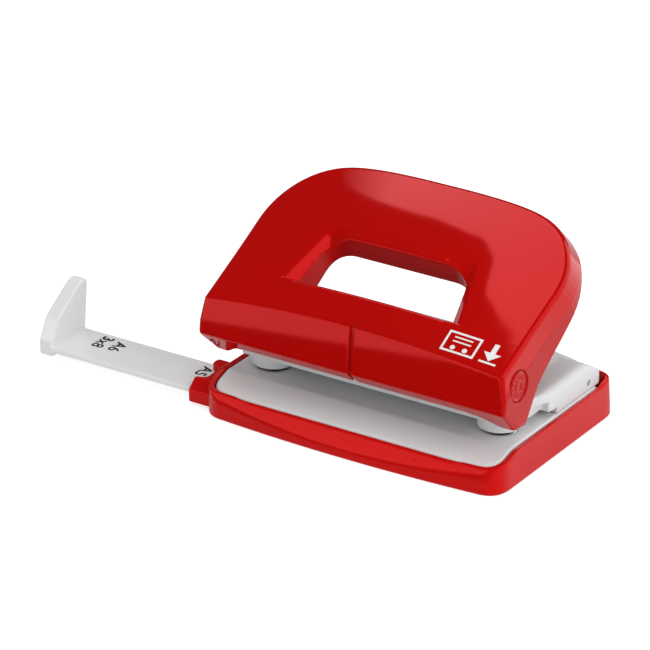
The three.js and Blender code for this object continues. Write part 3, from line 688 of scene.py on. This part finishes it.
def make_scale_mark(name, text, x, y, size):
    """Paper-size mark on the guide, read from the left end."""
    curve = bpy.data.curves.new(name, "FONT")
    curve.body = text
    curve.size = size * MM
    curve.offset = 0.09 * MM
    curve.align_x, curve.align_y = "CENTER", "CENTER"
    curve.resolution_u = 4
    text_object = bpy.data.objects.new(name + "_text", curve)
    bpy.context.collection.objects.link(text_object)
    bpy.context.view_layer.update()
    depsgraph = bpy.context.evaluated_depsgraph_get()
    mesh = bpy.data.meshes.new_from_object(text_object.evaluated_get(depsgraph))
    bpy.data.objects.remove(text_object)
    quarter_turn = Matrix.Rotation(-math.pi / 2, 4, "Z")
    mesh.transform(Matrix.Translation(Vector((x, y, Rail.top_z + INK_LIFT)) * MM) @ quarter_turn)
    mesh.materials.clear()
    obj = bpy.data.objects.new(name, mesh)
    bpy.context.collection.objects.link(obj)
    return obj


# ------------------------------------------------------------------ materials
def new_material(name, colour, roughness, metallic=0.0):
    material = bpy.data.materials.new(name)
    material.use_nodes = True
    shader = material.node_tree.nodes["Principled BSDF"]
    shader.inputs["Base Color"].default_value = (*colour, 1)
    shader.inputs["Roughness"].default_value = roughness
    shader.inputs["Metallic"].default_value = metallic
    return material, material.node_tree, shader


def add_noise(tree, scale, detail=3.0, stretch=(1, 1, 1)):
    place = tree.nodes.new("ShaderNodeTexCoord")
    mapping = tree.nodes.new("ShaderNodeMapping")
    mapping.inputs["Scale"].default_value = stretch
    noise = tree.nodes.new("ShaderNodeTexNoise")
    noise.inputs["Scale"].default_value = scale
    noise.inputs["Detail"].default_value = detail
    tree.links.new(place.outputs["Object"], mapping.inputs["Vector"])
    tree.links.new(mapping.outputs["Vector"], noise.inputs["Vector"])
    return noise.outputs["Fac"]


def add_ramp(tree, factor, low, high, dark, light):
    ramp = tree.nodes.new("ShaderNodeValToRGB")
    ramp.color_ramp.elements[0].position = low
    ramp.color_ramp.elements[1].position = high
    ramp.color_ramp.elements[0].color = (*dark, 1)
    ramp.color_ramp.elements[1].color = (*light, 1)
    tree.links.new(factor, ramp.inputs["Fac"])
    return ramp.outputs["Color"]


def add_range(tree, factor, low, high):
    span = tree.nodes.new("ShaderNodeMapRange")
    span.inputs["To Min"].default_value = low
    span.inputs["To Max"].default_value = high
    tree.links.new(factor, span.inputs["Value"])
    return span.outputs["Result"]


def add_bump(tree, shader, height, distance, strength=1.0):
    bump = tree.nodes.new("ShaderNodeBump")
    bump.inputs["Distance"].default_value = distance
    bump.inputs["Strength"].default_value = strength
    tree.links.new(height, bump.inputs["Height"])
    tree.links.new(bump.outputs["Normal"], shader.inputs["Normal"])


def red_plastic(name, colour, roughness, ripple):
    """Glossy moulded red: faint flow ripple, slight colour drift and handling haze."""
    material, tree, shader = new_material(name, colour, roughness)
    shader.inputs["Specular IOR Level"].default_value = 0.9
    shader.inputs["Specular Tint"].default_value = (1, 0.06, 0.07, 1)
    drift = add_noise(tree, 22, 2)
    deep = tuple(0.93 * c for c in colour)
    tree.links.new(add_ramp(tree, drift, 0.35, 0.65, deep, colour), shader.inputs["Base Color"])
    haze = add_noise(tree, 140, 4)
    tree.links.new(add_range(tree, haze, roughness * 0.8, roughness * 1.35), shader.inputs["Roughness"])
    add_bump(tree, shader, add_noise(tree, 420, 2), ripple)
    return material


def grey_plastic(name, colour):
    """Pale grey moulding with a fine spark-eroded grain."""
    material, tree, shader = new_material(name, colour, 0.34)
    drift = add_noise(tree, 35, 2)
    shade = tuple(0.955 * c for c in colour)
    tree.links.new(add_ramp(tree, drift, 0.35, 0.65, shade, colour), shader.inputs["Base Color"])
    tree.links.new(add_range(tree, add_noise(tree, 300, 4), 0.28, 0.42), shader.inputs["Roughness"])
    add_bump(tree, shader, add_noise(tree, 2600, 3), 0.000012)
    return material


def steel(name, colour, roughness, stretch):
    """Drawn or turned steel with fine lines along the working direction."""
    material, tree, shader = new_material(name, colour, roughness, 1.0)
    lines = add_noise(tree, 900, 3, stretch)
    dark = tuple(0.82 * c for c in colour)
    tree.links.new(add_ramp(tree, lines, 0.3, 0.7, dark, colour), shader.inputs["Base Color"])
    tree.links.new(add_range(tree, lines, roughness * 0.75, roughness * 1.4), shader.inputs["Roughness"])
    add_bump(tree, shader, lines, 0.000008)
    return material


def ink(name, colour):
    """Pad-printed ink, a little uneven in cover and gloss."""
    material, tree, shader = new_material(name, colour, 0.4)
    cover = add_noise(tree, 1800, 3)
    thin = tuple(0.86 * c for c in colour)
    tree.links.new(add_ramp(tree, cover, 0.3, 0.6, thin, colour), shader.inputs["Base Color"])
    tree.links.new(add_range(tree, cover, 0.32, 0.5), shader.inputs["Roughness"])
    return material


def paint(obj, material):
    obj.data.materials.clear()
    obj.data.materials.append(material)


# ------------------------------------------------------------------ pieces
red_gloss = red_plastic("red_gloss", (0.51, 0.004, 0.003), 0.045, 0.0000015)
red_satin = red_plastic("red_satin", (0.62, 0.0055, 0.0045), 0.16, 0.000006)
grey = grey_plastic("grey_moulding", (0.72, 0.745, 0.75))
pale_grey = grey_plastic("pale_grey_moulding", (0.85, 0.87, 0.875))
turned_steel = steel("turned_steel", (0.62, 0.62, 0.63), 0.22, (1, 1, 14))
drawn_steel = steel("drawn_steel", (0.62, 0.62, 0.63), 0.2, (0.08, 1, 1))
spring_wire = steel("spring_wire", (0.42, 0.43, 0.45), 0.3, (1, 1, 1))
white_ink = ink("white_ink", (0.86, 0.86, 0.85))
black_ink = ink("black_ink", (0.02, 0.021, 0.024))

moulded = [
    (make_handle(), "handle", "handle_shell", "red_plastic", red_gloss),
    (make_tray(), "tray", "chip_tray", "red_plastic", red_satin),
    (make_plate(), "base", "base_plate", "grey_plastic", pale_grey),
    (make_housing(), "base", "upper_housing", "grey_plastic", grey),
    (make_guide(), "guide", "guide_rail", "grey_plastic", pale_grey),
    (make_cap(-1), "handle", "pivot_cap_left", "red_plastic", red_gloss),
    (make_cap(1), "handle", "pivot_cap_right", "red_plastic", red_gloss),
]
for piece, body, node, slot, material in moulded:
    paint(piece, material)
    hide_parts(node)
    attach(piece, body)

printed = [(make_pictogram(), "handle", white_ink)]
for i, (text, x, y) in enumerate(SCALE_MARKS):
    mark = make_scale_mark(f"scale_mark_{i + 1}", text, x, y, SCALE_MARK_SIZE)
    printed.append((mark, "guide", black_ink))
for piece, body, material in printed:
    paint(piece, material)
    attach(piece, body)

metal_looks = {"press_rod": drawn_steel, "pivot_pin": drawn_steel, "return_spring": spring_wire}
for name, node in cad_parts.items():
    if node.hide_render:
        continue
    look = next((m for start, m in metal_looks.items() if name.startswith(start)), turned_steel)
    for slot_index in range(len(node.material_slots)):
        node.material_slots[slot_index].material = look


# ------------------------------------------------------------------ studio
# Places and sizes in this section are in metres.
PUNCH_MIDDLE = (0, 0, 0.03)
OVERHEAD_Z = 0.9
CAMERA_PLACE, CAMERA_AIM = (0.6192, -0.9877, 0.5773), (-0.0002, -0.0329, 0.0475)
LENS, SENSOR = 239.5, 36
WORLD_LIGHT, WORLD_IN_REFLECTIONS, WORLD_IN_VIEW = 0.62, 0.04, 1.0
FLOOR_GLOW, FLOOR_GLOW_IN_VIEW = 0.2, 0.7


def area_light(name, place, size, radiance):
    """A square light at place, shining at the punch, that leaves no reflection."""
    light = bpy.data.lights.new(name, "AREA")
    light.size = size
    light.energy = radiance * math.pi * size * size
    obj = bpy.data.objects.new(name, light)
    bpy.context.collection.objects.link(obj)
    way = Vector(PUNCH_MIDDLE) - Vector(place)
    aimed = way.to_track_quat("-Z", "Y").to_matrix().to_4x4()
    obj.matrix_world = Matrix.Translation(place) @ aimed
    obj.visible_glossy = False


def reflector(name, corners, radiance, fade=None):
    """A glowing card that only shows in reflections, fading out from one x to another."""
    bm = bmesh.new()
    bm.faces.new([bm.verts.new(corner) for corner in corners])
    mesh = bpy.data.meshes.new(name)
    bm.to_mesh(mesh)
    bm.free()
    obj = bpy.data.objects.new(name, mesh)
    bpy.context.collection.objects.link(obj)
    material = bpy.data.materials.new(name)
    material.use_nodes = True
    tree = material.node_tree
    tree.nodes.clear()
    glow = tree.nodes.new("ShaderNodeEmission")
    glow.inputs["Strength"].default_value = radiance
    if fade:
        geometry = tree.nodes.new("ShaderNodeNewGeometry")
        place = tree.nodes.new("ShaderNodeSeparateXYZ")
        tree.links.new(geometry.outputs["Position"], place.inputs[0])
        strength = tree.nodes.new("ShaderNodeMapRange")
        strength.inputs["From Min"].default_value = fade[0]
        strength.inputs["From Max"].default_value = fade[1]
        strength.inputs["To Min"].default_value = radiance
        strength.inputs["To Max"].default_value = 0
        tree.links.new(place.outputs["X"], strength.inputs["Value"])
        tree.links.new(strength.outputs["Result"], glow.inputs["Strength"])
    out = tree.nodes.new("ShaderNodeOutputMaterial")
    tree.links.new(glow.outputs["Emission"], out.inputs["Surface"])
    paint(obj, material)
    obj.visible_camera = obj.visible_diffuse = obj.visible_shadow = False


def standing(x0, y0, x1, y1, height):
    """Corners of an upright card on the floor between two places."""
    return [(x0, y0, 0.001), (x1, y1, 0.001), (x1, y1, height), (x0, y0, height)]


def make_floor():
    bm = bmesh.new()
    bmesh.ops.create_circle(bm, cap_ends=True, radius=6, segments=96)
    mesh = bpy.data.meshes.new("floor")
    bm.to_mesh(mesh)
    bm.free()
    obj = bpy.data.objects.new("floor", mesh)
    bpy.context.collection.objects.link(obj)
    material, tree, shader = new_material("studio_floor", (0.65, 0.65, 0.65), 0.9)
    paper = add_noise(tree, 3, 2)
    tree.links.new(
        add_ramp(tree, paper, 0.3, 0.7, (0.645, 0.645, 0.645), (0.655, 0.655, 0.655)),
        shader.inputs["Base Color"],
    )
    shader.inputs["Specular IOR Level"].default_value = 0
    shader.inputs["Emission Color"].default_value = (1, 1, 1, 1)
    path = tree.nodes.new("ShaderNodeLightPath")
    glow = tree.nodes.new("ShaderNodeMapRange")
    glow.inputs["To Min"].default_value = FLOOR_GLOW
    glow.inputs["To Max"].default_value = FLOOR_GLOW_IN_VIEW
    tree.links.new(path.outputs["Is Camera Ray"], glow.inputs["Value"])
    tree.links.new(glow.outputs["Result"], shader.inputs["Emission Strength"])
    paint(obj, material)


def make_world():
    """White surroundings, full white to the camera and dim in reflections."""
    world = bpy.data.worlds.new("studio")
    bpy.context.scene.world = world
    world.use_nodes = True
    tree = world.node_tree
    background = tree.nodes["Background"]
    background.inputs["Color"].default_value = (1, 1, 1, 1)
    path = tree.nodes.new("ShaderNodeLightPath")
    strength = tree.nodes.new("ShaderNodeMapRange")
    strength.inputs["To Min"].default_value = WORLD_LIGHT
    strength.inputs["To Max"].default_value = WORLD_IN_REFLECTIONS
    tree.links.new(path.outputs["Is Glossy Ray"], strength.inputs["Value"])
    seen = tree.nodes.new("ShaderNodeMath")
    seen.operation = "MULTIPLY_ADD"
    tree.links.new(path.outputs["Is Camera Ray"], seen.inputs[0])
    seen.inputs[1].default_value = WORLD_IN_VIEW - WORLD_LIGHT
    tree.links.new(strength.outputs["Result"], seen.inputs[2])
    tree.links.new(seen.outputs["Value"], background.inputs["Strength"])


def make_camera():
    data = bpy.data.cameras.new("camera")
    data.lens, data.sensor_width = LENS, SENSOR
    data.clip_start, data.clip_end = 0.05, 50
    obj = bpy.data.objects.new("camera", data)
    bpy.context.collection.objects.link(obj)
    way = Vector(CAMERA_AIM) - Vector(CAMERA_PLACE)
    turn = way.to_track_quat("-Z", "Y").to_matrix().to_4x4()
    obj.matrix_world = Matrix.Translation(CAMERA_PLACE) @ turn
    bpy.context.scene.camera = obj


make_floor()
make_world()
make_camera()
# Cards: the broad sheen on the face, the front band, the right side, the left facet of
# the window, and a black flag that keeps the floor out of the chin.
bpy.context.scene.view_settings.view_transform = "Standard"
overhead = [
    (-0.7, 0.295), (-0.44, 0.225), (-0.335, 0.182), (-0.287, 0.14), (-0.262, 0.085),
    (-0.22, 0.066), (-0.02, 0.07), (-0.02, 0.5), (-0.7, 0.5),
]
reflector("overhead_card", [(x, y, OVERHEAD_Z) for x, y in overhead], 3.0, (-0.57, -0.69))
reflector("front_card", standing(-0.22, -0.09, 0.04, -0.20, 0.08), 2.2)
reflector("side_card", standing(0.25, -0.01, 0.07, 0.21, 0.25), 1.8)
facet_card = [(0.42, -0.12, 0.3), (0.42, 0.14, 0.3), (0.3, 0.14, 0.46), (0.3, -0.12, 0.46)]
reflector("facet_card", facet_card, 2.6)
front_flag = [(-0.22, -0.09), (0.04, -0.20), (0.09, -0.03), (-0.2, -0.03)]
reflector("front_flag", [(x, y, 0.0005) for x, y in front_flag], 0.0)
area_light("key", (1.2, -0.25, 0.55), 0.9, 2.7)
area_light("top", (0, -0.1, 1.4), 1.0, 1.3)
